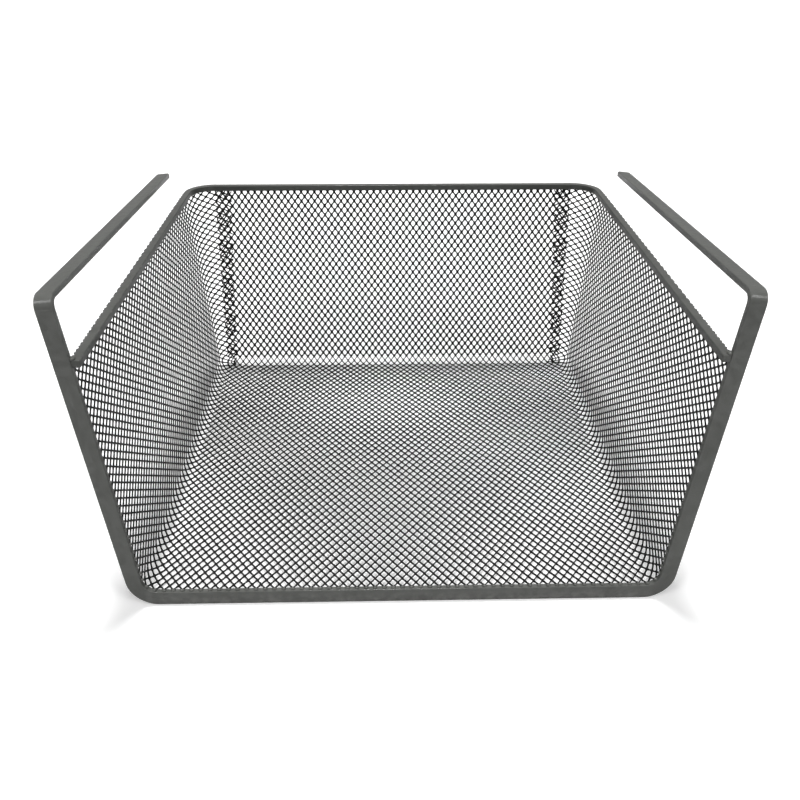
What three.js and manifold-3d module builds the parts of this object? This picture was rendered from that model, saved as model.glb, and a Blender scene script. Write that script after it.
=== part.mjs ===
// Under-shelf basket: a mesh tray hung from a shelf by two arms.
// One flat bar is bent into the arms, the uprights and the bottom bar. A thinner bar runs round the top of
// the tray as its rim, and the tray is a sheet of expanded mesh folded up into a floor, two sides and a back.
// Millimetres. X runs across the front, Y from the front to the back, Z up. The origin lies under the middle
// of the basket, level with the underside of the bottom bar.

import * as THREE from "three";
import { mergeGeometries, mergeVertices } from "three/addons/utils/BufferGeometryUtils.js";
import Module from "manifold-3d";

const wasm = await Module();
wasm.setup();

// Hanger frame
const BASE_WIDTH = 279; // across the bottom bar, to where its outer corners would be if sharp
const ARM_SPAN = 311; // across the tops of the uprights
const FRAME_HEIGHT = 171.5; // from the underside of the bottom bar to the outer edge of the arms at the front
const BAR_WIDTH = 8;
const BAR_THICKNESS = 3;
const CORNER_RADIUS = 16; // outside of the bottom corners
const BEND_RADIUS = 6.5; // outside of the bends from the uprights into the arms
const ARM_LENGTH = 226.5; // from the front face to the tips
const ARM_DROP = 10.8; // how far the tips lie below the front of the arms
const TIP_RADIUS = 1.5;

// Rim bar
const SHELF_GAP = 27; // clear height for the shelf, between the rim and the arms at the front
const RIM_WIDTH = 4;
const RIM_HEIGHT = 3;
const RIM_SETBACK = 0.5; // from the front face to the rim's front ends
const WELD_LENGTH = 3;
const WELD_WIDTH = 2.4;
const WELD_HEIGHT = 1.6;

// Mesh tray
const TRAY_DEPTH = 274.5; // from the front face to the outside of the back wall at the rim
const BACK_LEAN = THREE.MathUtils.degToRad(9.4);
const MESH_THICKNESS = 1;
const BACK_FOLD_RADIUS = 6; // outside of the fold from the floor into the back
const TOP_CORNER_RADIUS = 20; // outside of the upright corners at the rim, seen from above
const FLOOR_CORNER_RADIUS = 2.5; // of the flat floor's back corners
const SEAM_LAP = 7; // how far the corner flaps lap behind the back wall

// Coarse diamonds that stand for the fine mesh
const DIAMOND_SHORT = 28;
const DIAMOND_LONG = 39;
const STRAND_WIDTH = 2.5;
const EDGE_BORDER = 2.5;
const SMALLEST_GAP = 30; // square millimetres, below which a clipped diamond is left solid
const SHORTEST_EDGE = 0.1; // of a clipped diamond

const FIT_GAP = 0.3; // between pieces that touch
const BEND_STEPS = 8;
const FOLD_STEPS = 5;

const PAINT = { color: 0x666866, roughness: 0.45, metalness: 0.25 };
const MESH_PAINT = { color: 0x4a4c4a, roughness: 0.5, metalness: 0.25 };

// Directions and places that several pieces share, for the right-hand side of the basket
const lean = Math.atan2((ARM_SPAN - BASE_WIDTH) / 2, FRAME_HEIGHT);
const drop = Math.atan2(ARM_DROP, ARM_LENGTH);
const rimTop = FRAME_HEIGHT - BAR_THICKNESS - SHELF_GAP;
const alongUpright = new THREE.Vector3(Math.sin(lean), 0, Math.cos(lean));
const outward = new THREE.Vector3(Math.cos(lean), 0, -Math.sin(lean));
const toFront = new THREE.Vector3(0, -1, 0);
const toBack = new THREE.Vector3(0, 1, 0);
const toTop = new THREE.Vector3(0, 0, 1);
const foot = new THREE.Vector3(BASE_WIDTH / 2, 0, 0);
const cornerX = BASE_WIDTH / 2 - (CORNER_RADIUS * (1 - Math.sin(lean))) / Math.cos(lean);
const cornerCentre = new THREE.Vector3(cornerX, 0, CORNER_RADIUS);
const cornerTurn = Math.PI / 2 - lean;

// The tray's inner faces carry on from the inner edges of the bar, so its folds share the bar's corner centres
const sideFoldRadius = CORNER_RADIUS - BAR_WIDTH + MESH_THICKNESS;
const floorBottom = BAR_WIDTH - MESH_THICKNESS;
const trayFront = BAR_THICKNESS + FIT_GAP;
const lapOffset = MESH_THICKNESS + FIT_GAP;
const backFoldTurn = Math.PI / 2 - BACK_LEAN;
const backFoldZ = floorBottom + BACK_FOLD_RADIUS;
const backFoldY = backFaceY(backFoldZ) - BACK_FOLD_RADIUS / Math.cos(BACK_LEAN);
const totalDepth = TRAY_DEPTH + lapOffset / Math.cos(BACK_LEAN);

// X of the side wall's outer face, at height z
function sideFaceX(z) {
  return BASE_WIDTH / 2 + z * Math.tan(lean) - (BAR_WIDTH - MESH_THICKNESS) / Math.cos(lean);
}

// Y of the back wall's outer face, at height z
function backFaceY(z) {
  return TRAY_DEPTH - (rimTop - z) * Math.tan(BACK_LEAN);
}

// A geometry from points and triangles, with its faces turned outwards
function solidGeometry(points, triangles) {
  const corners = triangles.flat().map((index) => points[index]);
  let volume = 0;
  for (let i = 0; i < corners.length; i += 3) {
    volume += corners[i].dot(new THREE.Vector3().crossVectors(corners[i + 1], corners[i + 2]));
  }
  if (volume < 0) {
    for (let i = 0; i < corners.length; i += 3) {
      [corners[i + 1], corners[i + 2]] = [corners[i + 2], corners[i + 1]];
    }
  }
  const geometry = new THREE.BufferGeometry().setFromPoints(corners);
  geometry.computeVertexNormals();
  return geometry;
}

// The same geometry on the other side of the basket
function mirrored(geometry) {
  const place = geometry.getAttribute("position");
  const points = [];
  const triangles = [];
  for (let i = 0; i < place.count; i += 1) {
    points.push(new THREE.Vector3(-place.getX(i), place.getY(i), place.getZ(i)));
  }
  const order = geometry.index ? Array.from(geometry.index.array) : points.map((_, index) => index);
  for (let i = 0; i < order.length; i += 3) {
    triangles.push(order.slice(i, i + 3));
  }
  return solidGeometry(points, triangles);
}

// One section of a flat bar: its centre, its half width outwards and its half thickness
function station(centre, across, normal) {
  return { centre, across, normal };
}

function mirroredStation({ centre, across, normal }) {
  const flip = new THREE.Vector3(-1, 1, 1);
  return station(centre.clone().multiply(flip), across.clone().multiply(flip), normal.clone().multiply(flip));
}

// A closed flat bar through a list of sections
function flatBar(stations) {
  const points = [];
  for (const { centre, across, normal } of stations) {
    for (const [a, n] of [[1, 1], [-1, 1], [-1, -1], [1, -1]]) {
      points.push(centre.clone().addScaledVector(across, a).addScaledVector(normal, n));
    }
  }
  const last = points.length - 4;
  const triangles = [[0, 2, 1], [0, 3, 2], [last, last + 1, last + 2], [last, last + 2, last + 3]];
  for (let start = 0; start < last; start += 4) {
    for (let side = 0; side < 4; side += 1) {
      const a = start + side;
      const b = start + ((side + 1) % 4);
      triangles.push([a, b, b + 4], [a, b + 4, a + 4]);
    }
  }
  return solidGeometry(points, triangles);
}

// A closed curved sheet between two matching grids of points
function curvedSheet(outer, inner) {
  const rows = outer.length;
  const columns = outer[0].length;
  const points = [...outer.flat(), ...inner.flat()];
  const at = (layer, row, column) => (layer * rows + row) * columns + column;
  const triangles = [];
  const addQuad = (a, b, c, d) => triangles.push([a, b, c], [a, c, d]);
  for (let r = 0; r + 1 < rows; r += 1) {
    for (let c = 0; c + 1 < columns; c += 1) {
      addQuad(at(0, r, c), at(0, r, c + 1), at(0, r + 1, c + 1), at(0, r + 1, c));
      addQuad(at(1, r, c), at(1, r + 1, c), at(1, r + 1, c + 1), at(1, r, c + 1));
    }
    addQuad(at(0, r, 0), at(0, r + 1, 0), at(1, r + 1, 0), at(1, r, 0));
    addQuad(at(0, r + 1, columns - 1), at(0, r, columns - 1), at(1, r, columns - 1), at(1, r + 1, columns - 1));
  }
  for (let c = 0; c + 1 < columns; c += 1) {
    addQuad(at(0, 0, c + 1), at(0, 0, c), at(1, 0, c), at(1, 0, c + 1));
    addQuad(at(0, rows - 1, c), at(0, rows - 1, c + 1), at(1, rows - 1, c + 1), at(1, rows - 1, c));
  }
  return solidGeometry(points, triangles);
}

// The part of a polygon that lies on the inner side of each edge of a convex outline, moved in by a border
function clippedInside(polygon, outline, border) {
  let kept = polygon;
  outline.forEach((start, i) => {
    const edge = outline[(i + 1) % outline.length].clone().sub(start).normalize();
    const depth = (p) => edge.cross(p.clone().sub(start)) - border;
    const next = [];
    kept.forEach((p, j) => {
      const q = kept[(j + 1) % kept.length];
      if (depth(p) >= 0) {
        next.push(p);
      }
      if (depth(p) * depth(q) < 0) {
        next.push(p.clone().lerp(q, depth(p) / (depth(p) - depth(q))));
      }
    });
    kept = next;
  });
  return kept.filter((p, i) => p.distanceTo(kept[(i + 1) % kept.length]) > SHORTEST_EDGE);
}

// A flat plate with an outline, from height low to height high
function flatPlate(outline, low, high) {
  const plate = new THREE.ExtrudeGeometry(new THREE.Shape(outline), { depth: high - low, bevelEnabled: false });
  return plate.translate(0, 0, low);
}

// A closed geometry as a solid that others can be cut from
function solidFrom(geometry) {
  const bare = new THREE.BufferGeometry().setAttribute("position", geometry.getAttribute("position"));
  const merged = mergeVertices(bare, 1e-4);
  const vertProperties = merged.getAttribute("position").array;
  const triVerts = Uint32Array.from(merged.index.array);
  return new wasm.Manifold(new wasm.Mesh({ numProp: 3, vertProperties, triVerts }));
}

function geometryFrom(solid) {
  const { vertProperties, triVerts } = solid.getMesh();
  const geometry = new THREE.BufferGeometry();
  geometry.setAttribute("position", new THREE.BufferAttribute(vertProperties, 3));
  geometry.setIndex(new THREE.BufferAttribute(triVerts, 1));
  geometry.computeVertexNormals();
  return geometry;
}

// A flat net with diamond gaps inside a convex outline, which runs anticlockwise
function diamondNet(outline, gapWidth, gapHeight) {
  const gaps = [];
  const box = new THREE.Box2().setFromPoints(outline);
  const middle = box.getCenter(new THREE.Vector2());
  const reach = box.getSize(new THREE.Vector2()).multiplyScalar(0.5);
  const inset = (STRAND_WIDTH / 2) * Math.hypot(1 / gapWidth, 1 / gapHeight) * 2;
  const halfWidth = (gapWidth / 2) * (1 - inset);
  const halfHeight = (gapHeight / 2) * (1 - inset);
  const columns = Math.ceil((2 * reach.x) / gapWidth) + 1;
  const rows = Math.ceil((2 * reach.y) / gapHeight) + 1;
  for (let row = -rows; row <= rows; row += 1) {
    for (let column = -columns; column <= columns; column += 1) {
      if ((row + column) % 2 !== 0) {
        continue;
      }
      const x = middle.x + (column * gapWidth) / 2;
      const y = middle.y + (row * gapHeight) / 2;
      const diamond = [
        new THREE.Vector2(x + halfWidth, y),
        new THREE.Vector2(x, y + halfHeight),
        new THREE.Vector2(x - halfWidth, y),
        new THREE.Vector2(x, y - halfHeight),
      ];
      const gap = clippedInside(diamond, outline, EDGE_BORDER);
      if (gap.length > 2 && Math.abs(THREE.ShapeUtils.area(gap)) > SMALLEST_GAP) {
        gaps.push(flatPlate(gap, -MESH_THICKNESS, 2 * MESH_THICKNESS));
      }
    }
  }
  const plate = solidFrom(flatPlate(outline, 0, MESH_THICKNESS));
  return geometryFrom(plate.subtract(solidFrom(mergeGeometries(gaps))));
}

// The hanger bar from the middle of the bottom bar to the right arm's tip
function rightHalfOfFrame() {
  const half = BAR_WIDTH / 2;
  const front = toFront.clone().multiplyScalar(BAR_THICKNESS / 2);
  const inBar = toBack.clone().multiplyScalar(BAR_THICKNESS / 2);
  const stations = [];
  for (let step = 0; step <= BEND_STEPS; step += 1) {
    const angle = -Math.PI / 2 + (cornerTurn * step) / BEND_STEPS;
    const radial = new THREE.Vector3(Math.cos(angle), 0, Math.sin(angle));
    const centre = cornerCentre.clone().addScaledVector(radial, CORNER_RADIUS - half).add(inBar);
    stations.push(station(centre, radial.multiplyScalar(half), front));
  }
  const across = outward.clone().multiplyScalar(half);
  const bendTurn = Math.PI / 2 + drop;
  const topOfUpright = FRAME_HEIGHT / Math.cos(lean) - BEND_RADIUS * Math.tan(bendTurn / 2);
  const bendCentre = foot.clone().sub(across).addScaledVector(alongUpright, topOfUpright);
  bendCentre.addScaledVector(toBack, BEND_RADIUS);
  let arm = null;
  for (let step = 0; step <= BEND_STEPS; step += 1) {
    const angle = (bendTurn * step) / BEND_STEPS;
    const radial = toFront.clone().multiplyScalar(Math.cos(angle));
    radial.addScaledVector(alongUpright, Math.sin(angle));
    const centre = bendCentre.clone().addScaledVector(radial, BEND_RADIUS - BAR_THICKNESS / 2);
    arm = station(centre, across, radial.multiplyScalar(BAR_THICKNESS / 2));
    stations.push(arm);
  }
  const alongArm = toBack.clone().multiplyScalar(Math.cos(drop));
  alongArm.addScaledVector(alongUpright, -Math.sin(drop));
  const runToTip = (ARM_LENGTH - arm.centre.y) / Math.cos(drop);
  const tipSteps = 3;
  for (let step = 0; step <= tipSteps; step += 1) {
    const angle = ((Math.PI / 2) * step) / tipSteps;
    const run = runToTip - TIP_RADIUS * (1 - Math.sin(angle));
    const narrow = 1 - (TIP_RADIUS * (1 - Math.cos(angle))) / half;
    const centre = arm.centre.clone().addScaledVector(alongArm, run);
    stations.push(station(centre, across.clone().multiplyScalar(narrow), arm.normal));
  }
  return stations;
}

// The rim bar from the middle of the back to its right front end
function rightHalfOfRim() {
  const rimBottom = rimTop - RIM_HEIGHT;
  const sideX = sideFaceX(rimBottom) - MESH_THICKNESS / Math.cos(lean) - FIT_GAP;
  const backY = backFaceY(rimBottom) - MESH_THICKNESS / Math.cos(BACK_LEAN) - FIT_GAP;
  const radius = TOP_CORNER_RADIUS - MESH_THICKNESS - 2 * FIT_GAP;
  const half = RIM_WIDTH / 2;
  const thick = toTop.clone().multiplyScalar(RIM_HEIGHT / 2);
  const corner = new THREE.Vector3(sideX - radius, backY - radius, rimTop - RIM_HEIGHT / 2);
  const stations = [];
  for (let step = 0; step <= BEND_STEPS; step += 1) {
    const angle = (Math.PI / 2) * (1 - step / BEND_STEPS);
    const radial = new THREE.Vector3(Math.cos(angle), Math.sin(angle), 0);
    const centre = corner.clone().addScaledVector(radial, radius - half);
    stations.push(station(centre, radial.multiplyScalar(half), thick));
  }
  const last = stations[BEND_STEPS];
  const end = last.centre.clone();
  end.y = RIM_SETBACK;
  stations.push(station(end, last.across, thick));
  return stations;
}

// The bar made of a half and its mirror image
function wholeBar(half) {
  return flatBar([...half.map(mirroredStation).reverse(), ...half]);
}

// A point of the fold from the floor into the side: part 0 is the floor's edge and 1 the wall's lower edge
function sideFoldPoint(part, inset) {
  const turn = cornerTurn * part;
  const radius = sideFoldRadius - inset;
  return new THREE.Vector3(cornerX + radius * Math.sin(turn), 0, CORNER_RADIUS - radius * Math.cos(turn));
}

// A point of the fold from the floor into the back, moved out by a lap
function backFoldPoint(part, inset, lap) {
  const turn = backFoldTurn * part;
  const radius = BACK_FOLD_RADIUS - inset + lap;
  return new THREE.Vector3(0, backFoldY + radius * Math.sin(turn), backFoldZ - radius * Math.cos(turn));
}

// Where the corner meets the side and the back at one level: row FOLD_STEPS ends the fold, the next is the rim
function cornerLevel(row, inset, lap) {
  if (row > FOLD_STEPS) {
    const x = sideFaceX(rimTop) - inset / Math.cos(lean);
    const y = TRAY_DEPTH + (lap - inset) / Math.cos(BACK_LEAN);
    return { x, y, sideZ: rimTop, backZ: rimTop, radius: TOP_CORNER_RADIUS - inset };
  }
  const side = sideFoldPoint(row / FOLD_STEPS, inset);
  const back = backFoldPoint(row / FOLD_STEPS, inset, lap);
  const radius = FLOOR_CORNER_RADIUS + side.x - cornerX;
  return { x: side.x, y: back.y, sideZ: side.z, backZ: back.z, radius };
}

// A point of the right corner; part runs from 0 at the side to 1 at the back
function cornerPoint(row, part, inset) {
  const { x, y, sideZ, backZ, radius } = cornerLevel(row, inset, lapOffset * part);
  const turn = (Math.PI / 2) * part;
  const z = THREE.MathUtils.lerp(sideZ, backZ, part);
  return new THREE.Vector3(x - radius * (1 - Math.cos(turn)), y - radius * (1 - Math.sin(turn)), z);
}

// Y at which the side wall ends and the corner begins
function sideEndY(row) {
  return cornerPoint(row, 0, 0).y - FIT_GAP;
}

// X at which the back wall ends, in front of the corner's flap
function backEndX(row) {
  return cornerPoint(row, 1, 0).x - FIT_GAP;
}

const foldRows = Array.from({ length: FOLD_STEPS + 1 }, (_, row) => row);

function floorNet() {
  const halfWidth = cornerX - FIT_GAP;
  const back = backFoldY - FIT_GAP;
  const outline = [
    new THREE.Vector2(-halfWidth, trayFront),
    new THREE.Vector2(halfWidth, trayFront),
    new THREE.Vector2(halfWidth, back - FLOOR_CORNER_RADIUS),
    new THREE.Vector2(halfWidth - FLOOR_CORNER_RADIUS, back),
    new THREE.Vector2(-halfWidth + FLOOR_CORNER_RADIUS, back),
    new THREE.Vector2(-halfWidth, back - FLOOR_CORNER_RADIUS),
  ];
  return diamondNet(outline, DIAMOND_SHORT, DIAMOND_LONG).translate(0, 0, floorBottom);
}

// The right side wall, drawn flat with its length along X and its height along Y, then stood up
function sideNet() {
  const innerFoot = foot.clone().addScaledVector(outward, -BAR_WIDTH);
  const height = (z) => (z - innerFoot.z) / alongUpright.z;
  const bottom = cornerCentre.clone().sub(foot).dot(alongUpright) + FIT_GAP;
  const outline = [
    new THREE.Vector2(trayFront, bottom),
    new THREE.Vector2(sideEndY(FOLD_STEPS), bottom),
    new THREE.Vector2(sideEndY(FOLD_STEPS + 1), height(rimTop)),
    new THREE.Vector2(trayFront, height(rimTop)),
  ];
  const stand = new THREE.Matrix4().makeBasis(toBack, alongUpright, outward).setPosition(innerFoot);
  return diamondNet(outline, DIAMOND_LONG, DIAMOND_SHORT).applyMatrix4(stand);
}

// The back wall, drawn flat with its top edge at zero, then leant back
function backNet() {
  const bottom = (backFoldPoint(1, 0, 0).z - rimTop) / Math.cos(BACK_LEAN) + FIT_GAP;
  const halfTop = backEndX(FOLD_STEPS + 1);
  const halfBottom = backEndX(FOLD_STEPS);
  const outline = [
    new THREE.Vector2(-halfBottom, bottom),
    new THREE.Vector2(halfBottom, bottom),
    new THREE.Vector2(halfTop, 0),
    new THREE.Vector2(-halfTop, 0),
  ];
  const upTheWall = new THREE.Vector3(0, Math.sin(BACK_LEAN), Math.cos(BACK_LEAN));
  const inward = new THREE.Vector3(0, -Math.cos(BACK_LEAN), Math.sin(BACK_LEAN));
  const stand = new THREE.Matrix4().makeBasis(new THREE.Vector3(1, 0, 0), upTheWall, inward);
  stand.setPosition(0, TRAY_DEPTH, rimTop);
  return diamondNet(outline, DIAMOND_SHORT, DIAMOND_LONG).applyMatrix4(stand);
}

function sideFold() {
  const layer = (inset) => foldRows.map((row) => [trayFront, sideEndY(row)].map((y) => {
    const point = sideFoldPoint(row / FOLD_STEPS, inset);
    return point.setY(y);
  }));
  return curvedSheet(layer(0), layer(MESH_THICKNESS));
}

function backFold() {
  const layer = (inset) => foldRows.map((row) => [-1, 1].map((side) => {
    const point = backFoldPoint(row / FOLD_STEPS, inset, 0);
    return point.setX(side * backEndX(0));
  }));
  return curvedSheet(layer(0), layer(MESH_THICKNESS));
}

// The upright corner with its flap, which goes on flat behind the back wall
function cornerFlap() {
  const levels = [...foldRows, FOLD_STEPS + 1];
  const layer = (inset) => levels.map((row) => {
    const points = [];
    for (let step = 0; step <= BEND_STEPS; step += 1) {
      points.push(cornerPoint(row, step / BEND_STEPS, inset));
    }
    const end = points[BEND_STEPS].clone();
    end.x -= SEAM_LAP;
    points.push(end);
    return points;
  });
  return curvedSheet(layer(0), layer(MESH_THICKNESS));
}

// The weld in the notch between the rim's top and the upright's inner edge
function rimWeld() {
  const bead = new THREE.SphereGeometry(0.5, 12, 8);
  bead.scale(WELD_WIDTH, WELD_LENGTH, WELD_HEIGHT);
  const edgeX = sideFaceX(rimTop) - MESH_THICKNESS / Math.cos(lean);
  const y = RIM_SETBACK + WELD_LENGTH / 2;
  bead.translate(edgeX - FIT_GAP - WELD_WIDTH / 2, y, rimTop + FIT_GAP + WELD_HEIGHT / 2);
  return bead;
}

const basket = new THREE.Group();
basket.position.y = -totalDepth / 2;

function addPiece(name, geometry, finish) {
  const piece = new THREE.Mesh(geometry, new THREE.MeshStandardMaterial(finish));
  piece.name = name;
  basket.add(piece);
}

// A piece on the right and its mirror image on the left
function addPair(name, geometry, finish) {
  addPiece(`right_${name}`, geometry, finish);
  addPiece(`left_${name}`, mirrored(geometry), finish);
}

addPiece("hanger_frame", wholeBar(rightHalfOfFrame()), PAINT);
addPiece("rim_bar", wholeBar(rightHalfOfRim()), PAINT);
addPair("rim_weld", rimWeld(), PAINT);
addPiece("floor_mesh", floorNet(), MESH_PAINT);
addPair("side_mesh", sideNet(), MESH_PAINT);
addPiece("back_mesh", backNet(), MESH_PAINT);
addPair("floor_fold", sideFold(), MESH_PAINT);
addPiece("back_fold", backFold(), MESH_PAINT);
addPair("corner_flap", cornerFlap(), MESH_PAINT);

const model = new THREE.Group();
model.add(basket);

export default model;
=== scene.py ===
import math

import bmesh
import bpy
import numpy as np
from mathutils import Matrix, Vector


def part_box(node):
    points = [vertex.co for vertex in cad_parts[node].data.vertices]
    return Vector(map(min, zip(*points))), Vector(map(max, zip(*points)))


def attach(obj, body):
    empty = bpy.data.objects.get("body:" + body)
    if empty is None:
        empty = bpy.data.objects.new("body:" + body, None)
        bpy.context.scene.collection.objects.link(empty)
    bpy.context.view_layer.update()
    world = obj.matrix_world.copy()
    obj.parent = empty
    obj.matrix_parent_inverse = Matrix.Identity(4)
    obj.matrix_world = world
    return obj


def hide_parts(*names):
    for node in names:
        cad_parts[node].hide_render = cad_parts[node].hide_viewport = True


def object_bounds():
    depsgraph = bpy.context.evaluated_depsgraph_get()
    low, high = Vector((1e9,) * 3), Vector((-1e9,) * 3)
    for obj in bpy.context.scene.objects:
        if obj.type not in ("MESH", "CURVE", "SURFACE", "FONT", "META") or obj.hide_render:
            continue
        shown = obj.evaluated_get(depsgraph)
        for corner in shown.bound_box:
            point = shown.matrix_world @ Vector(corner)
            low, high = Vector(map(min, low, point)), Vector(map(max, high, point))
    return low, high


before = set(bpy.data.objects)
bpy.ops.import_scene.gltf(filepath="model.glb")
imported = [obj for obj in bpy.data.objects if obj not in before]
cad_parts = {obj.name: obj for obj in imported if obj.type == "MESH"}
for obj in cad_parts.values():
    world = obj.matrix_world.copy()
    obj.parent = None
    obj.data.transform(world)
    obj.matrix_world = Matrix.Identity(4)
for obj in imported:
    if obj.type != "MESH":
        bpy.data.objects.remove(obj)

cad_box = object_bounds()

# Hanger frame
# One length of flat steel bar, bent edgewise at the two bottom corners and flatwise where the
# uprights turn back into the arms. It carries the tray and is painted satin grey with it.
mm = 0.001
close_by, touching, same_point = 0.05 * mm, 0.01 * mm, 0.001 * mm
front = cad_box[0][1]
bar_width, bar_thickness = 8 * mm, 3 * mm
foot_x, arm_flare = 139.5 * mm, 16 * mm
frame_height = 171.5 * mm
arm_length, arm_drop = 226.5 * mm, 10.8 * mm
corner_radius, bend_radius, tip_radius = 16 * mm, 6.5 * mm, 1.5 * mm
bar_easing = 0.45 * mm
bend_steps, tip_steps = 16, 5
lean = math.atan2(arm_flare, frame_height)
drop = math.atan2(arm_drop, arm_length)
up_the_side = Vector((math.sin(lean), 0, math.cos(lean)))
out_of_side = Vector((math.cos(lean), 0, -math.sin(lean)))
corner_x = foot_x - corner_radius * (1 - math.sin(lean)) / math.cos(lean)


def pick(kind, chosen):
    """Selects, in edit mode, only the verts, edges or faces whose middle passes a test."""
    mesh = bmesh.from_edit_mesh(bpy.context.edit_object.data)
    bpy.context.tool_settings.mesh_select_mode = (kind == "verts", kind == "edges", kind == "faces")
    bpy.ops.mesh.select_all(action="DESELECT")
    for part in getattr(mesh, kind):
        corners = [part.co] if kind == "verts" else [v.co for v in part.verts]
        if chosen(sum(corners, Vector()) / len(corners)):
            part.select_set(True)
    mesh.select_flush_mode()
    bmesh.update_edit_mesh(bpy.context.edit_object.data)


def near(place):
    """A test for pick: close by a place."""
    return lambda middle: (middle - Vector(place)).length < close_by


def draw_out(step):
    """Extrudes the selected end of a bar by a step."""
    bpy.ops.mesh.extrude_region_move(TRANSFORM_OT_translate={"value": step})


def start(name):
    """Names the primitive just added, puts its place into its mesh and opens it for editing."""
    piece = bpy.context.object
    piece.name = piece.data.name = name
    bpy.ops.object.transform_apply(location=True, rotation=True, scale=True)
    bpy.ops.object.mode_set(mode="EDIT")
    return piece


def finish_with(piece, kind, **settings):
    """Adds a modifier to a piece and applies it."""
    modifier = piece.modifiers.new(kind.title(), kind)
    for key, value in settings.items():
        setattr(modifier, key, value)
    bpy.ops.object.modifier_apply(modifier=modifier.name)


def bar_section(name, middle, width_y, width_z):
    """Opens a new piece with the flat end of a bar that runs along X, at its size and place."""
    bpy.ops.object.select_all(action="DESELECT")
    bpy.ops.mesh.primitive_plane_add(size=1, location=middle, rotation=(0, math.pi / 2, 0))
    piece = start(name)
    bpy.ops.transform.resize(value=(1, width_y, width_z), center_override=middle)
    return piece


def mirror_and_ease(piece, eased):
    """Closes the half bar with its mirror image and eases its long edges."""
    ease_steps, edge_turn, smooth_turn = 3, math.radians(40), math.radians(50)
    pick("faces", lambda middle: abs(middle.x) < touching)
    bpy.ops.mesh.delete(type="FACE")
    bpy.ops.object.mode_set(mode="OBJECT")
    finish_with(piece, "MIRROR", use_clip=True, merge_threshold=touching)
    bpy.ops.object.mode_set(mode="EDIT")
    bpy.ops.mesh.select_all(action="SELECT")
    bpy.ops.mesh.remove_doubles(threshold=same_point)
    bpy.ops.mesh.normals_make_consistent(inside=False)
    bpy.ops.object.mode_set(mode="OBJECT")
    finish_with(piece, "BEVEL", width=eased, segments=ease_steps, limit_method="ANGLE", angle_limit=edge_turn)
    bpy.ops.object.shade_smooth_by_angle(angle=smooth_turn)
    finish_with(piece, "WEIGHTED_NORMAL", keep_sharp=True)


bar_middle = Vector((0, front + bar_thickness / 2, bar_width / 2))
hanger = bar_section("hanger_bar", bar_middle, bar_thickness, bar_width)
draw_out((corner_x, 0, 0))
corner_centre = Vector((corner_x, bar_middle.y, corner_radius))
pick("faces", near(bar_middle + Vector((corner_x, 0, 0))))
bpy.ops.mesh.spin(steps=bend_steps, angle=math.pi / 2 - lean, center=corner_centre, axis=(0, 1, 0))
upright_start = corner_centre + out_of_side * (corner_radius - bar_width / 2)
pick("faces", near(upright_start))
upright_foot = Vector((foot_x, bar_middle.y, 0)) - out_of_side * bar_width / 2
bend_turn = math.pi / 2 + drop
upright_length = frame_height / math.cos(lean) - bend_radius * math.tan(bend_turn / 2)
upright_top = upright_foot + up_the_side * upright_length
draw_out(upright_top - upright_start)
bend_centre = upright_top + Vector((0, bend_radius - bar_thickness / 2, 0))
pick("faces", near(upright_top))
bpy.ops.mesh.spin(steps=bend_steps, angle=bend_turn, center=bend_centre, axis=out_of_side)
radial = Vector((0, -math.cos(bend_turn), 0)) + up_the_side * math.sin(bend_turn)
arm_start = bend_centre + radial * (bend_radius - bar_thickness / 2)
along_arm = Vector((0, math.cos(drop), 0)) - up_the_side * math.sin(drop)
arm_end = arm_start + along_arm * ((front + arm_length - arm_start.y) / math.cos(drop))
pick("faces", near(arm_start))
draw_out(arm_end - arm_start)
tip_corners = [arm_end + out_of_side * side * bar_width / 2 for side in (-1, 1)]
pick("edges", lambda middle: any(near(corner)(middle) for corner in tip_corners))
bpy.ops.mesh.bevel(offset=tip_radius, segments=tip_steps, affect="EDGES")
mirror_and_ease(hanger, bar_easing)


class Shade:
    """One value in a material's nodes. Sums and products of values become Math nodes."""

    def __init__(self, tree, socket=None):
        self.tree, self.socket = tree, socket

    def node(self, kind, settings=None, sockets=None, output=0):
        """Adds a node with its settings first, then its sockets' values or links."""
        made = self.tree.nodes.new(kind)
        for key, value in (settings or {}).items():
            setattr(made, key, value)
        for key, value in (sockets or {}).items():
            if isinstance(value, Shade):
                self.tree.links.new(value.socket, made.inputs[key])
            else:
                made.inputs[key].default_value = value
        return Shade(self.tree, made.outputs[output])

    def maths(self, operation, first, second):
        return self.node("ShaderNodeMath", {"operation": operation}, {0: first, 1: second})

    def __add__(self, other):
        return self.maths("ADD", self, other)

    def __radd__(self, other):
        return self.maths("ADD", other, self)

    def __sub__(self, other):
        return self.maths("SUBTRACT", self, other)

    def __mul__(self, other):
        return self.maths("MULTIPLY", self, other)

    def __rmul__(self, other):
        return self.maths("MULTIPLY", other, self)

    def between(self, low, high):
        """How far this value has come from low to high, held to 0 and 1."""
        return self.node("ShaderNodeMapRange", {"clamp": True},
                         {"Value": self, "From Min": low, "From Max": high})

    def blend(self, first, second):
        """A colour that goes from the first to the second as this value goes from 0 to 1."""
        return self.node("ShaderNodeMix", {"data_type": "RGBA"}, {0: self, 6: first, 7: second}, output=2)


def new_finish(name):
    """An empty material, its nodes and its output."""
    material = bpy.data.materials.new(name)
    material.use_nodes = True
    material.node_tree.nodes.clear()
    return material, Shade(material.node_tree), material.node_tree.nodes.new("ShaderNodeOutputMaterial")


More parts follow.
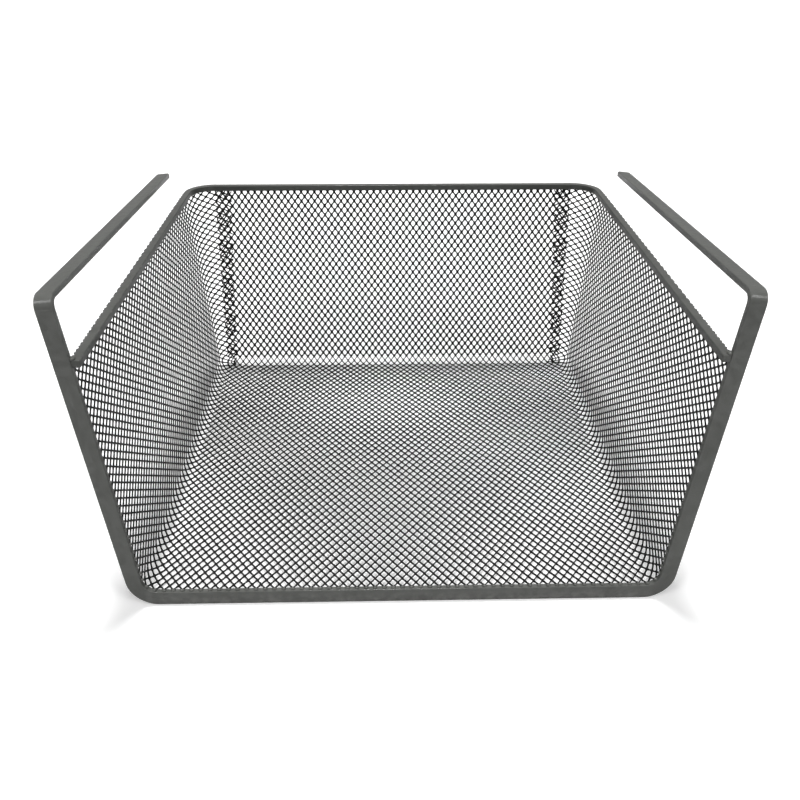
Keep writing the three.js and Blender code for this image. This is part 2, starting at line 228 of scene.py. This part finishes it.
def satin_paint(name, shade, wear_and_highlight_colour, gloss, shine, coat, peel_size, peel_depth, painted_top_highlight=0):
    """Sprayed satin paint on steel: faint clouding, orange peel, specks of dust and rubbed edges, and, where
    asked for, a painted highlight that lightens faces turned upwards.
    """
    material, nodes, output = new_finish(name)
    place = nodes.node("ShaderNodeTexCoord", output="Object")

    def mottle(per_metre, detail):
        return nodes.node("ShaderNodeTexNoise", None, {"Vector": place, "Scale": per_metre, "Detail": detail})

    clouds = mottle(34, 3).between(0.3, 0.7)
    peel = mottle(peel_size, 2)
    specks = mottle(2300, 1).between(0.70, 0.76)
    wear_and_top_highlight = nodes.node("ShaderNodeNewGeometry", output="Pointiness").between(0.53, 0.60)
    wear_and_top_highlight = wear_and_top_highlight * mottle(210, 4).between(0.42, 0.62)
    # Faces turned upwards blend towards the lighter colour too: a painted highlight, not wear.
    if painted_top_highlight:
        facing = nodes.node("ShaderNodeNewGeometry", output="Normal")
        facing_up = nodes.node("ShaderNodeSeparateXYZ", None, {"Vector": facing}, output="Z")
        facing_up = facing_up.between(0.75, 0.97)
        wear_and_top_highlight = nodes.maths("MAXIMUM", wear_and_top_highlight, painted_top_highlight * facing_up * mottle(90, 4).between(0.2, 0.5))
    colour = clouds.blend([0.93 * c for c in shade] + [1], [1.07 * c for c in shade] + [1])
    colour = (0.35 * specks).blend(colour, [1.5 * c for c in shade] + [1])
    colour = (0.6 * wear_and_top_highlight).blend(colour, [*wear_and_highlight_colour, 1])
    roughness = gloss + 0.10 * clouds + 0.08 * peel - 0.06 * wear_and_top_highlight
    grain = nodes.node("ShaderNodeBump", None,
                       {"Strength": 0.5, "Distance": peel_depth, "Height": peel + 0.5 * specks})
    paint = nodes.node("ShaderNodeBsdfPrincipled", None, {
        "Base Color": colour, "Roughness": roughness, "Normal": grain, "Specular IOR Level": shine,
        "Coat Weight": coat * (0.3 + 0.7 * mottle(330, 2).between(0.42, 0.6)), "Coat Roughness": 0.14})
    material.node_tree.links.new(paint.socket, output.inputs["Surface"])
    return material


frame_paint = satin_paint(
    "grey_frame_paint", shade=(0.111, 0.114, 0.107), wear_and_highlight_colour=(0.19, 0.19, 0.18),
    gloss=0.34, shine=0.1, coat=0.4, peel_size=850, peel_depth=0.12 * mm)
hanger.data.materials.append(frame_paint)
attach(hanger, "root")
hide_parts("hanger_frame")

# Rim bar
# A thinner flat steel bar bent to a U. It lies inside the mesh's top edge round the sides and the
# back, and its front ends are welded to the uprights.
rim_low, rim_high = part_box("rim_bar")
rim_width, rim_extra_depth = 4.5 * mm, 0.8 * mm
side_spread, back_spread = 1.0 * mm, 0.3 * mm
rim_set_down, rim_rise = 0.8 * mm, 1.2 * mm
rim_radius, rim_easing = 18.4 * mm, 0.7 * mm
rim_bend_steps = 18
rim_thickness = rim_high.z - rim_low.z + rim_extra_depth
rim_out, rim_back = rim_high.x + side_spread, rim_high.y + back_spread
rim_top = rim_high.z - rim_set_down
rim_middle = Vector((0, rim_back - rim_width / 2, rim_top - rim_thickness / 2))
rim_turn_x, rim_turn_y = rim_out - rim_radius, rim_back - rim_radius

rim = bar_section("rim_bar_bent", rim_middle, rim_width, rim_thickness)
draw_out((rim_turn_x, 0, 0))
pick("faces", near((rim_turn_x, rim_middle.y, rim_middle.z)))
rim_turn_centre = (rim_turn_x, rim_turn_y, rim_middle.z)
bpy.ops.mesh.spin(steps=rim_bend_steps, angle=math.pi / 2, center=rim_turn_centre, axis=(0, 0, 1))
rim_side = Vector((rim_out - rim_width / 2, rim_turn_y, rim_middle.z))
pick("faces", near(rim_side))
draw_out((0, rim_low.y - rim_turn_y, rim_rise))
mirror_and_ease(rim, rim_easing)
# The rim has the frame's paint; its darker colour here is painted shade, and its lighter upward faces are a
# painted highlight.
shaded_rim_paint = satin_paint(
    "frame_paint_shaded_for_rim", shade=(0.078, 0.081, 0.076), wear_and_highlight_colour=(0.18, 0.18, 0.17),
    gloss=0.34, shine=0.1, coat=0.35, peel_size=700, peel_depth=0.14 * mm, painted_top_highlight=0.5)
rim.data.materials.append(shaded_rim_paint)
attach(rim, "root")
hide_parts("rim_bar")

# Mesh floor and back wall
# Steel sheet slit and stretched into diamonds, so that strands cross at tilted bonds. It is laid
# against the bar as the floor, turned up in a small fold at the back, and welded to the rim.
diamonds_across, spare_diamonds = 53, 3
diamond_wide = 2 * corner_x / diamonds_across
diamond_long = 6.5 * mm
floor_bond, back_bond, wall_bond = 0.45 * mm, 0.8 * mm, 0.66 * mm
floor_tilt, wall_tilt = 0.14 * mm, 0.01 * mm
strand_waist = 0.66
floor_thickness, wall_thickness = 0.8 * mm, 0.5 * mm
tray_depth = 274.5 * mm
mesh_front = front + bar_thickness / 2
mesh_below_rim = 0.7 * mm
back_lean = math.radians(9.4)
back_fold_radius, back_fold_inset = 5.5 * mm, 6 * mm
back_fold_z = 14 * mm
back_fold_y = (front + (tray_depth - (rim_high.z - back_fold_z) * math.tan(back_lean))
               - back_fold_inset / math.cos(back_lean))
back_fold_turn = math.pi / 2 - back_lean
back_extra_width = 2.4 * mm
back_reach = 200 * mm
floor_rows, back_first_row, back_rows = 41, 38, 23


def flat_mesh(name, columns, rows, first, bond_half, bond_tilt):
    """Diamond mesh in one layer on the flat, from its first bond on.

    One bond with two waisted strands is drawn, doubled half a diamond on, and copied in both directions.
    """
    bond_half_long = bond_half * diamond_long / diamond_wide
    step_x, step_y = diamond_wide / 4 - bond_half / 2, diamond_long / 4 - bond_half_long / 2
    off_centre = 0.1 * mm
    bpy.ops.object.select_all(action="DESELECT")
    bpy.ops.mesh.primitive_plane_add(size=math.sqrt(2), location=(0, 0, 0), rotation=(0, 0, math.pi / 4))
    piece = start(name)
    bpy.ops.transform.resize(value=(bond_half, bond_half_long, 1), center_override=(0, 0, 0))
    for side in (-1, 1):
        pick("verts", lambda middle: middle.x * side > off_centre)
        bpy.ops.transform.translate(value=(0, 0, -side * bond_tilt))
    for side in (-1, 1):
        end = Vector((side * bond_half / 2, bond_half_long / 2, -side * bond_tilt / 2))
        half_way = Vector((side * step_x, step_y, side * bond_tilt / 2))
        pick("edges", near(end))
        for narrower in (strand_waist, 1 / strand_waist):
            end = end + half_way
            bpy.ops.mesh.extrude_edges_move(TRANSFORM_OT_translate={"value": half_way})
            bpy.ops.transform.resize(value=(narrower, narrower, 1), center_override=end)
    bpy.ops.mesh.select_all(action="SELECT")
    bpy.ops.mesh.duplicate_move(TRANSFORM_OT_translate={"value": (diamond_wide / 2, diamond_long / 2, 0)})
    bpy.ops.mesh.select_all(action="SELECT")
    bpy.ops.mesh.remove_doubles(threshold=touching)
    bpy.ops.mesh.normals_make_consistent(inside=False)
    bpy.ops.transform.translate(value=(*first, 0))
    bpy.ops.object.mode_set(mode="OBJECT")
    for count, offset in ((columns, (diamond_wide, 0, 0)), (rows, (0, diamond_long, 0))):
        finish_with(piece, "ARRAY", count=count, use_relative_offset=False, use_constant_offset=True,
                    constant_offset_displace=offset, use_merge_vertices=True, merge_threshold=touching)
    return piece


def trim(piece, place, facing):
    """Cuts off what lies beyond a plane, on the side that it faces."""
    bpy.context.view_layer.objects.active = piece
    bpy.ops.object.mode_set(mode="EDIT")
    bpy.ops.mesh.select_all(action="SELECT")
    bpy.ops.mesh.bisect(plane_co=place, plane_no=facing, clear_outer=True, threshold=same_point)
    bpy.ops.object.mode_set(mode="OBJECT")


def shape_over(piece, surface):
    """Folds a flat mesh over a surface, which gives a place for each pair of flat distances."""
    flat = np.empty(len(piece.data.vertices) * 3)
    piece.data.vertices.foreach_get("co", flat)
    u, v, w = flat.reshape(-1, 3).T
    reach = 0.01 * mm
    over = surface(u + reach, v) - surface(u - reach, v)
    along = surface(u, v + reach) - surface(u, v - reach)
    inward = np.cross(over, along)
    inward /= np.linalg.norm(inward, axis=1)[:, None]
    piece.data.vertices.foreach_set("co", (surface(u, v) + inward * w[:, None]).ravel())
    piece.data.update()


def floor_and_back(u, v):
    """The floor from the front, the fold, then the back wall."""
    turn = np.clip((v - back_fold_y) / back_fold_radius, 0, back_fold_turn)
    up = np.maximum(v - back_fold_y - back_fold_radius * back_fold_turn, 0)
    y = np.minimum(v, back_fold_y) + back_fold_radius * np.sin(turn) + up * math.sin(back_lean)
    z = back_fold_z - back_fold_radius * np.cos(turn) + up * math.cos(back_lean)
    return np.stack([u, y, z], axis=1)


def give_thickness(piece, thickness):
    """Turns the one layer of strands into solid ones with crisp edges."""
    smooth_turn = math.radians(30)
    finish_with(piece, "SOLIDIFY", thickness=thickness, offset=0)
    bpy.ops.object.shade_smooth_by_angle(angle=smooth_turn)


lattice_front = front + bar_thickness / 2 - diamond_long / 2
trim_place = (0, rim_turn_y, rim_top - mesh_below_rim)
trim_facing = (0, rim_rise / (rim_turn_y - rim_low.y), 1)
fold_end = back_fold_y + back_fold_radius * back_fold_turn
# The strands are drawn near-black, well darker than their grey paint: painted shade on the thin strands.
shaded_mesh_paint = satin_paint(
    "mesh_paint_darkened_as_shade", shade=(0.011, 0.0113, 0.0108), wear_and_highlight_colour=(0.024, 0.024, 0.0235),
    gloss=0.42, shine=0.12, coat=0, peel_size=1500, peel_depth=0.08 * mm)


def tray_panel(name, bond, tilt, thickness, half_width, first_row, rows, begins, ends):
    """The part of the tray between two distances along its floor and back, in its finish."""
    first = (-corner_x - diamond_wide, lattice_front + first_row * diamond_long)
    panel = flat_mesh(name, diamonds_across + spare_diamonds, rows, first, bond, tilt)
    trim(panel, (half_width, 0, 0), (1, 0, 0))
    trim(panel, (-half_width, 0, 0), (-1, 0, 0))
    trim(panel, (0, begins, 0), (0, -1, 0))
    trim(panel, (0, ends, 0), (0, 1, 0))
    shape_over(panel, floor_and_back)
    trim(panel, trim_place, trim_facing)
    give_thickness(panel, thickness)
    panel.data.materials.append(shaded_mesh_paint)
    return panel


floor_panel = tray_panel(
    "floor_mesh_panel", floor_bond, floor_tilt, floor_thickness, half_width=corner_x,
    first_row=0, rows=floor_rows, begins=mesh_front, ends=fold_end)
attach(floor_panel, "root")
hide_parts("floor_mesh", "back_fold")

back_panel = tray_panel(
    "back_mesh_panel", back_bond, wall_tilt, wall_thickness, half_width=corner_x + back_extra_width,
    first_row=back_first_row, rows=back_rows, begins=fold_end, ends=fold_end + back_reach)
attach(back_panel, "root")
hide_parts("back_mesh")

# Mesh sides with their corner flaps
# The same sheet goes on up from the floor in a round fold to each side wall. At the back it turns
# the corner, which widens towards the rim, and laps over the back wall as a narrow flap.
side_columns, side_rows = 34, 46
side_fold_radius = 7.8 * mm
side_fold_turn = math.pi / 2 - lean
side_fold_length = side_fold_radius * side_fold_turn
floor_corner_radius, top_corner_radius = 2.5 * mm, 19.5 * mm
fold_widening, corner_growth = 0.15, 1.3
low_lap, top_lap, lap_offset = 10 * mm, 9 * mm, 1.3 * mm
rim_press, press_growth = 0.75, 4
half_sheet = 0.5 * mm
side_flare = 1.1 * mm
corner_sag, sag_growth, sag_reach, flap_climb = 7.5 * mm, 0.7, 60 * mm, 0.2
corner_parts, corner_easing = 200, 1.6
corner_steps = np.linspace(0, 1, corner_parts + 1)
corner_turns = corner_steps ** corner_easing * math.pi / 2
corner_along, corner_across = (
    np.append(0, np.cumsum(share[1:] + share[:-1]) / (2 * corner_parts))
    for share in (np.cos(corner_turns), np.sin(corner_turns)))
fold_end_z = corner_radius - side_fold_radius * math.cos(side_fold_turn)
side_height = side_fold_length + (rim_top - fold_end_z) / math.cos(lean)


def corner_level(rise, lap):
    """X, heights at side and back, Y of the back and corner radius, at a distance up the side.

    The wall goes on past the rim, where its share of the height is 1, since it is trimmed there later.
    """
    highest_share = 2
    fold = np.clip(rise / side_fold_length, 0, 1)
    wall = np.clip((rise - side_fold_length) / (side_height - side_fold_length), 0, highest_share)
    turn, back_turn = fold * side_fold_turn, fold * back_fold_turn
    up = np.maximum(rise - side_fold_length, 0)
    x = corner_x + side_fold_radius * np.sin(turn) + up * math.sin(lean) + side_flare * wall
    side_z = corner_radius - side_fold_radius * np.cos(turn) + up * math.cos(lean)
    back_radius = back_fold_radius + lap
    fold_y = back_fold_y + back_radius * np.sin(back_turn)
    fold_z = back_fold_z - back_radius * np.cos(back_turn)
    rim_y = front + tray_depth + (lap - half_sheet) / math.cos(back_lean)
    radius = floor_corner_radius + fold_widening * side_fold_radius * np.sin(turn)
    radius = radius + (top_corner_radius - radius) * wall ** corner_growth
    return x, side_z, fold_z + (rim_top - fold_z) * wall, fold_y + (rim_y - fold_y) * wall, radius


def round_corner(rise, v):
    """Distance past the corner's start, the corner's length, how much of it is done and what is beyond."""
    *_, back_y, radius = corner_level(rise, 0)
    arc = radius / corner_across[-1]
    past = v - (back_y - arc * corner_along[-1])
    return past, arc, np.clip(past / arc, 0, 1), np.maximum(past - arc, 0)


def side_and_flap(u, v):
    """The fold from the floor, the side wall, the corner and the flap, on the side that u points to."""
    hand = np.sign(u)
    rise = np.abs(u) - corner_x
    fold = np.clip(rise / side_fold_length, 0, 1)
    wall = np.clip((rise - side_fold_length) / (side_height - side_fold_length), 0, 1)
    sag = corner_sag * wall ** sag_growth
    before, arc, part, beyond = round_corner(rise, v)
    pull = -2 * sag / sag_reach
    droop = (-sag * np.clip(1 + before / sag_reach, 0, 1) ** 2 + flap_climb * beyond
             + arc * part * (pull + (flap_climb - pull) * part / 2))
    before, arc, part, beyond = round_corner(rise + droop, v)
    lap = lap_offset * part * fold * (1 - rim_press * wall ** press_growth)
    x, side_z, back_z, back_y, _ = corner_level(rise + droop, lap)
    across, along = (arc * np.interp(part, corner_steps, share) for share in (corner_across, corner_along))
    return np.stack([hand * (x - across - beyond),
                     back_y - arc * corner_along[-1] + along + np.minimum(before, 0),
                     side_z + (back_z - side_z) * part], axis=1)


def side_mesh(name, hand):
    """The mesh of one side, trimmed on the flat and folded up; hand is 1 on the right."""
    first_x = corner_x - diamond_wide if hand > 0 else -corner_x - (side_columns - 1) * diamond_wide
    piece = flat_mesh(name, side_columns, side_rows, (first_x, lattice_front), wall_bond, wall_tilt)
    flap_ends = []
    for rise, lap in ((0.0, low_lap), (side_fold_length, low_lap), (side_height, top_lap)):
        past, arc, *_ = round_corner(np.array([rise]), 0)
        flap_ends.append((hand * (corner_x + rise), float(arc[0] - past[0]) + lap))
    for (x0, y0), (x1, y1) in zip(flap_ends, flap_ends[1:]):
        trim(piece, (x0, y0, 0), (hand * (y0 - y1), hand * (x1 - x0), 0))
    trim(piece, (hand * corner_x, 0, 0), (-hand, 0, 0))
    trim(piece, (0, mesh_front, 0), (0, -1, 0))
    shape_over(piece, side_and_flap)
    trim(piece, trim_place, trim_facing)
    give_thickness(piece, wall_thickness)
    piece.data.materials.append(shaded_mesh_paint)
    return piece


for side_name, hand in (("left", -1), ("right", 1)):
    wall = side_mesh(f"{side_name}_mesh_wall", hand)
    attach(wall, "root")
    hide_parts(f"{side_name}_side_mesh", f"{side_name}_floor_fold", f"{side_name}_corner_flap")

# Rim welds
# A short bead in the notch where each front end of the rim meets its upright. The bead is laid by
# hand, so it is lumpy, and it is painted with the frame.
bead_out, bead_down, bead_scale = 0.9 * mm, 0.4 * mm, 1.2
lump_places = ((0.16, 0.1, 0.42), (-0.22, 0.2, 0.38), (0.02, -0.3, 0.36), (0.3, -0.2, -0.3))
lump_reach, first_swell, swell_step = 0.2, 1.16, 0.04
for side_name, hand in (("left", -1), ("right", 1)):
    bead_low, bead_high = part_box(f"{side_name}_rim_weld")
    bead_middle = (bead_low + bead_high) / 2 + Vector((hand * bead_out, 0, -bead_down))
    bpy.ops.object.select_all(action="DESELECT")
    bpy.ops.mesh.primitive_ico_sphere_add(subdivisions=3, radius=0.5, location=(0, 0, 0))
    bead = start(f"{side_name}_rim_bead")
    for lump, place in enumerate(lump_places):
        pick("verts", lambda middle: (middle - Vector(place)).length < lump_reach)
        bpy.ops.transform.resize(value=(first_swell - swell_step * lump,) * 3, center_override=(0, 0, 0))
    bpy.ops.mesh.select_all(action="SELECT")
    bpy.ops.mesh.vertices_smooth(factor=0.5, repeat=2)
    bpy.ops.transform.resize(value=bead_scale * (bead_high - bead_low), center_override=(0, 0, 0))
    bpy.ops.transform.translate(value=bead_middle)
    bpy.ops.object.mode_set(mode="OBJECT")
    bpy.ops.object.shade_smooth()
    bead.data.materials.append(frame_paint)
    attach(bead, "root")
    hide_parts(f"{side_name}_rim_weld")

# Tack welds
# Small nuggets where the bonds along the mesh's front edge are welded to the top of the bottom bar
# and to the inner edges of the uprights. They are painted with the frame.
ball_radius, ball_reach, tack_stretch = 0.5 * mm, 2 * mm, (2.4, 1.9, 1.9)
tack_lift, tack_roughness = 0.2 * mm, 0.12 * mm
side_tack_count = 29
tack_y = front + bar_thickness / 2
tacks_each_side = diamonds_across // 2
floor_tacks = [Vector((column * diamond_wide, tack_y, bar_width + tack_lift))
               for column in range(-tacks_each_side, tacks_each_side + 1)]
side_rises = np.arange(0.5, side_tack_count) * diamond_wide
side_tacks = side_and_flap(corner_x + side_rises, np.full(len(side_rises), tack_y))
side_tacks = [Vector((hand * x, y, z)) for hand in (-1, 1) for x, y, z in side_tacks]
bpy.ops.object.select_all(action="DESELECT")
bpy.ops.mesh.primitive_uv_sphere_add(segments=8, ring_count=5, radius=ball_radius, location=(0, 0, 0))
tacks = start("mesh_tack_welds")
bpy.ops.transform.resize(value=tack_stretch, center_override=(0, 0, 0))
placed = Vector()
for place in floor_tacks + side_tacks:
    bpy.ops.mesh.duplicate_move(TRANSFORM_OT_translate={"value": place - placed})
    placed = place
pick("verts", lambda middle: middle.length < ball_reach)
bpy.ops.mesh.delete(type="VERT")
bpy.ops.mesh.select_all(action="SELECT")
bpy.ops.transform.vertex_random(offset=tack_roughness, seed=4)
bpy.ops.object.mode_set(mode="OBJECT")
bpy.ops.object.shade_smooth()
tacks.data.materials.append(frame_paint)
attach(tacks, "root")

# Table and studio
# A white table that the basket stands on, resting on its bottom bar and on the back of its floor,
# in a white room with one lamp overhead and a softer lamp on each side at the front.
table_size, table_gap = 30, 0.02 * mm
floor_lift, floor_run = 6.5 * mm, 250 * mm
table_tilt = math.atan2(floor_lift, floor_run)
bpy.ops.object.select_all(action="DESELECT")
bpy.ops.mesh.primitive_plane_add(size=table_size, location=(0, 0, 0))
table = start("table")
bpy.ops.object.mode_set(mode="OBJECT")
table.matrix_world = Matrix.Translation((0, front, -table_gap)) @ Matrix.Rotation(table_tilt, 4, "X")
bpy.ops.object.transform_apply(location=True, rotation=True, scale=True)
table_finish, nodes, output = new_finish("white_table")
seen = nodes.maths("MAXIMUM", nodes.node("ShaderNodeLightPath", output="Is Camera Ray"),
                   nodes.node("ShaderNodeLightPath", output="Is Glossy Ray"))
matt = nodes.node("ShaderNodeBsdfDiffuse", None,
                  {"Color": seen.blend((0.5, 0.5, 0.5, 1), (0.97, 0.97, 0.97, 1))})
glow = nodes.node("ShaderNodeEmission", None,
                  {"Color": seen.blend((0, 0, 0, 1), (0.25, 0.25, 0.25, 1))})
both = nodes.node("ShaderNodeAddShader", None, {0: matt, 1: glow})
table_finish.node_tree.links.new(both.socket, output.inputs["Surface"])
table.data.materials.append(table_finish)

world = bpy.data.worlds.new("white_room")
bpy.context.scene.world = world
world.use_nodes = True
world.node_tree.nodes.clear()
room = Shade(world.node_tree)
looked_at = room.node("ShaderNodeLightPath", output="Is Camera Ray")
mirrored = room.node("ShaderNodeLightPath", output="Is Glossy Ray")
direction = room.node("ShaderNodeTexCoord", output="Generated")
height = room.node("ShaderNodeSeparateXYZ", None, {"Vector": direction}, output="Z")
brightness = 0.25 + 0.75 * room.maths("MAXIMUM", looked_at, mirrored * height.between(0.3, 0.9))
sky = room.node("ShaderNodeBackground", None, {"Color": (1, 1, 1, 1), "Strength": brightness})
world_output = world.node_tree.nodes.new("ShaderNodeOutputWorld")
world.node_tree.links.new(sky.socket, world_output.inputs["Surface"])

for name, strength, spread, points in (
        ("overhead_lamp", 0.62, 9, (0, -0.18, -1)),
        ("left_lamp", 0.24, 17, (0.48, 0.49, -0.73)),
        ("right_lamp", 0.24, 17, (-0.52, 0.48, -0.72))):
    lamp = bpy.data.lights.new(name, "SUN")
    lamp.energy, lamp.angle = strength * math.pi, math.radians(spread)
    lamp_object = bpy.data.objects.new(name, lamp)
    bpy.context.scene.collection.objects.link(lamp_object)
    lamp_object.rotation_euler = Vector(points).to_track_quat("-Z", "Y").to_euler()

camera_place = Vector((-9.69 * mm, front - 331.04 * mm, 313.64 * mm))
look_down, yaw, roll = math.radians(30.20), math.radians(-1.40), math.radians(0.15)
camera_data = bpy.data.cameras.new("photo_camera")
camera_data.lens, camera_data.sensor_width = 38.448, 36
camera_data.clip_start = 0.01
camera = bpy.data.objects.new("photo_camera", camera_data)
bpy.context.scene.collection.objects.link(camera)
aim = (Matrix.Rotation(yaw, 4, "Z") @ Matrix.Rotation(math.pi / 2 - look_down, 4, "X")
       @ Matrix.Rotation(roll, 4, "Z"))
camera.matrix_world = Matrix.Translation(camera_place) @ aim
bpy.context.scene.camera = camera
bpy.context.scene.view_settings.view_transform = "Standard"
